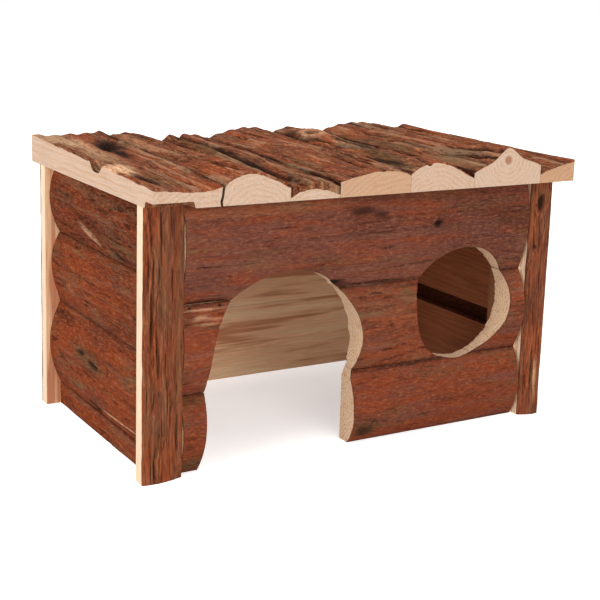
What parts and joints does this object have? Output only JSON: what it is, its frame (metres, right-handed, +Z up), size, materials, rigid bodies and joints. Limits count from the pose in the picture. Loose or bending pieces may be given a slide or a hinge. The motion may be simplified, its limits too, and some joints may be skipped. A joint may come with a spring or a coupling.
{
  "type": "guinea pig house",
  "caption": "Free-standing small-pet hide of bark-covered half-log slabs with an arched doorway, a round window, a flat slab roof and no floor.",
  "frame": {"origin": "on the ground, under the middle of the roof", "axes": "+Z up, the doorway and the window face -Y, +X to the right as seen from the front"},
  "size_m": [0.278, 0.18, 0.1729],
  "materials": {
    "roof_bark": "rough fibrous bark, pale sawn ends",
    "front_bark": "smooth reddish bark, pale sawn cuts",
    "side_bark": "reddish bark outside, planed inside",
    "post_bark": "ridged bark with pale sawn edges",
    "planed_wood": "planed softwood",
    "brad_steel": "bare wire"
  },
  "bodies": {
    "root": {"front_left_post": "post_bark", "front_right_post": "post_bark", "rear_left_post": "post_bark", "rear_right_post": "post_bark", "front_bottom_left_slab": "front_bark", "front_bottom_right_slab": "front_bark", "front_middle_left_slab": "front_bark", "front_middle_centre_slab": "front_bark", "front_middle_right_slab": "front_bark", "front_top_slab": "front_bark", "left_bottom_slab": "side_bark", "left_lower_slab": "side_bark", "left_upper_slab": "side_bark", "left_top_slab": "side_bark", "right_bottom_slab": "side_bark", "right_middle_slab": "side_bark", "right_top_slab": "side_bark", "rear_bottom_slab": "side_bark", "rear_middle_slab": "side_bark", "rear_top_slab": "side_bark", "roof_slab_1": "roof_bark", "roof_slab_2": "roof_bark", "roof_slab_3": "roof_bark", "roof_slab_4": "roof_bark", "roof_slab_5": "roof_bark", "roof_slab_6": "roof_bark", "roof_slab_7": "roof_bark", "front_left_batten": "planed_wood", "front_right_batten": "planed_wood", "rear_left_batten": "planed_wood", "rear_right_batten": "planed_wood", "front_cleat": "planed_wood", "roof_front_batten": "planed_wood", "roof_rear_batten": "planed_wood", "roof_brads": "brad_steel", "front_brads": "brad_steel", "rear_brads": "brad_steel", "left_brads": "brad_steel", "right_brads": "brad_steel", "post_brads": "brad_steel"}
  },
  "joints": []
}
